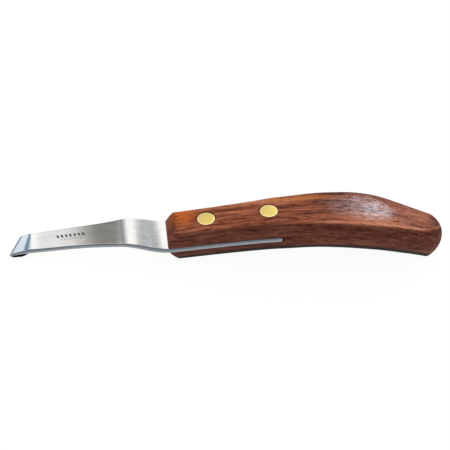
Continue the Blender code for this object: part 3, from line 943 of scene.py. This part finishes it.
def make_blade(materials):
    rows = strip_rows()
    grid, normals = strip_grid(rows)
    loops = [strip_loop(p, n, row[2]) for p, n, row in zip(grid, normals, rows)]
    count = len(loops[0])
    faces = []
    kinds = []
    face_span = ACROSS_COUNT - 2
    arc_span = 2 * (CORNER_STEPS + 1)
    hook_row = len(rows) - sum(HOOK_PIECE_STEPS[1:])
    fold_end = hook_row + HOOK_PIECE_STEPS[1]
    for i in range(len(loops) - 1):
        for j in range(count):
            after = (j + 1) % count
            faces.append((i * count + j, i * count + after, (i + 1) * count + after, (i + 1) * count + j))
            on_far_edge = face_span <= j < face_span + arc_span - 1
            on_near_edge = 2 * face_span + arc_span <= j < count - 1
            underneath = face_span + arc_span - 1 <= j < 2 * face_span + arc_span
            # Painted shadow in and under the curl of the hook, painted reflection on top of the fold.
            if on_near_edge and i >= fold_end:
                kinds.append(HOOK_SHADOW)
            elif j < face_span and i >= hook_row:
                kinds.append(FOLD_REFLECTION if i < fold_end else HOOK_SHADOW)
            elif on_far_edge or on_near_edge:
                kinds.append(EDGE)
            elif underneath and i >= hook_row:
                kinds.append(HOOK_SHADOW)
            else:
                kinds.append(FACE)
    for i in (0, len(loops) - 1):
        faces.append(tuple(i * count + j for j in range(count)))
        kinds.append(EDGE)
    verts = [place for loop in loops for place in loop]
    blade = mesh_object("blade_strip", verts, faces, materials, kinds)
    # Mask for the painted shade along the upper corner of the edges.
    near_arc = range(count - CORNER_STEPS - 1, count)
    far_arc = range(face_span, face_span + CORNER_STEPS + 1)
    rim = [float(j in near_arc or j in far_arc) for j in range(count)]
    blade.data.attributes.new("rim", "FLOAT", "POINT").data.foreach_set("value", rim * len(loops))
    fix_normals(blade)
    carve(blade, [bore_cutter(x, BORE_GAP) for _, x in RIVET_PLACES])
    return blade


# ---------------------------------------------------------------- rivets

def head_profile():
    """Face of a rivet head from the rim to the middle, as (radius, height above the seat)."""
    profile = []
    for k in range(RIM_STEPS + 1):
        angle = 0.5 * math.pi * k / RIM_STEPS
        radius = HEAD_RADIUS - RIM_RADIUS * (1 - math.cos(angle))
        profile.append((radius, HEAD_THICKNESS - HEAD_CROWN - RIM_RADIUS * (1 - math.sin(angle))))
    inner = HEAD_RADIUS - RIM_RADIUS
    for k in range(1, CROWN_STEPS + 1):
        radius = inner * (1 - k / CROWN_STEPS)
        profile.append((radius, HEAD_THICKNESS - HEAD_CROWN * (radius / inner) ** 2))
    return profile


def make_rivet(label, x, materials):
    under = HANDLE_HALF_THICKNESS - HEAD_THICKNESS
    face = [(radius, under + height) for radius, height in head_profile()]
    pin = [(0.0, PIN_END), (PIN_RADIUS, PIN_END), (PIN_RADIUS, under), (HEAD_RADIUS, under)] + face
    tube = [(radius, -height) for radius, height in reversed(face)]
    tube += [(HEAD_RADIUS, -under), (TUBE_RADIUS, -under), (TUBE_RADIUS, TUBE_TOP),
             (TUBE_BORE_RADIUS, TUBE_TOP), (TUBE_BORE_RADIUS, TUBE_BORE_FLOOR), (0.0, TUBE_BORE_FLOOR)]
    male = turned("rivet_pin_" + label, pin, materials)
    female = turned("rivet_tube_" + label, tube, materials)
    for piece in (male, female):
        piece.location.x = x
    return male, female


# ---------------------------------------------------------------- stage

def make_floor():
    material, _, shader = new_material("pale_floor")
    shader["Base Color"].default_value = (0.07, 0.07, 0.07, 1.0)
    shader["Roughness"].default_value = 0.9
    shader["Specular IOR Level"].default_value = 0.0
    shader["Emission Color"].default_value = (1.0, 1.0, 0.992, 1.0)
    shader["Emission Strength"].default_value = 0.945
    half = 0.5 * FLOOR_SIZE
    verts = [(-half, -half, 0), (half, -half, 0), (half, half, 0), (-half, half, 0)]
    mesh_object("floor", verts, [(0, 1, 2, 3)], [material])


def make_world():
    """A studio: bright overhead, bright and dark walls for the steel to mirror, one window, dim low down."""
    world = bpy.data.worlds.new("studio")
    bpy.context.scene.world = world
    world.use_nodes = True
    g = Graph(world.node_tree)
    x, y, z = g.split(g.add("ShaderNodeTexCoord").outputs["Generated"])
    azimuth = g.math("ARCTAN2", x, y)
    around = g.math("ADD", g.math("DIVIDE", azimuth, 2 * math.pi), 0.5)
    walls = g.ramp(around, [((degrees + 180.0) / 360.0, colour) for degrees, colour in STUDIO_WALLS])
    colour = g.mix(g.step(z, *OVERHEAD_RISE), walls, OVERHEAD_COLOUR)
    dim = g.mix(1.0, colour, LOW_TINT, "MULTIPLY")
    colour = g.mix(g.step(z, *LOW_RISE), dim, colour)
    left = g.step(azimuth, *map(math.radians, WINDOW_LEFT))
    right = g.step(azimuth, *map(math.radians, WINDOW_RIGHT))
    upright = g.math("MULTIPLY", g.step(z, *WINDOW_SILL), g.step(z, *WINDOW_HEAD))
    window = g.math("MULTIPLY", g.math("MULTIPLY", left, right), upright)
    colour = g.mix(window, colour, WINDOW_COLOUR)
    background = g.add("ShaderNodeBackground")
    g.put(background.inputs["Color"], colour)
    output = g.add("ShaderNodeOutputWorld")
    world.node_tree.links.new(background.outputs[0], output.inputs[0])


def make_camera(knife):
    camera = bpy.data.objects.new("camera", bpy.data.cameras.new("camera"))
    bpy.context.scene.collection.objects.link(camera)
    right = Vector(CAMERA_RIGHT).normalized()
    up = Vector(CAMERA_UP).normalized()
    turn = Matrix((right, up, right.cross(up))).transposed()
    camera.matrix_world = knife @ Matrix.Translation(CAMERA_PLACE) @ turn.to_4x4()
    camera.data.lens = CAMERA_LENS
    camera.data.clip_start = 0.01
    bpy.context.scene.camera = camera


# ---------------------------------------------------------------- assembly

def knife_matrix(record):
    """Place of the tang's frame, from the flat under the handle that the record gives."""
    mount = record["mounts"][0]
    up = -Vector(mount["axis"])
    across = Vector((0.0, 1.0, 0.0))
    along = across.cross(up)
    turn = Matrix((along, across, up)).transposed().to_4x4()
    foot = turn @ Vector((MOUNT_X, 0.0, -HANDLE_HALF_THICKNESS))
    return Matrix.Translation(Vector(mount["pos_m"]) - foot) @ turn


def place_piece(piece, knife, node):
    piece.data.transform(knife @ Matrix.Translation(piece.location))
    piece.location = (0.0, 0.0, 0.0)
    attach(piece, "root")
    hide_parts(node)


def main():
    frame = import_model()
    knife = knife_matrix(frame["record"])
    handle = make_handle([wood_material(knife)])
    metals = [steel_material(knife), edge_material(knife), hook_shadow_material(knife), fold_reflection_material(knife)]
    blade = make_blade(metals)
    place_piece(handle, knife, "handle")
    place_piece(blade, knife, "blade")
    brass = brass_material(knife)
    for label, x in RIVET_PLACES:
        male, female = make_rivet(label, x, [brass])
        place_piece(male, knife, "rivet_male_" + label)
        place_piece(female, knife, "rivet_female_" + label)
    make_floor()
    make_world()
    make_camera(knife)
    bpy.context.scene.view_settings.view_transform = "Standard"


main()
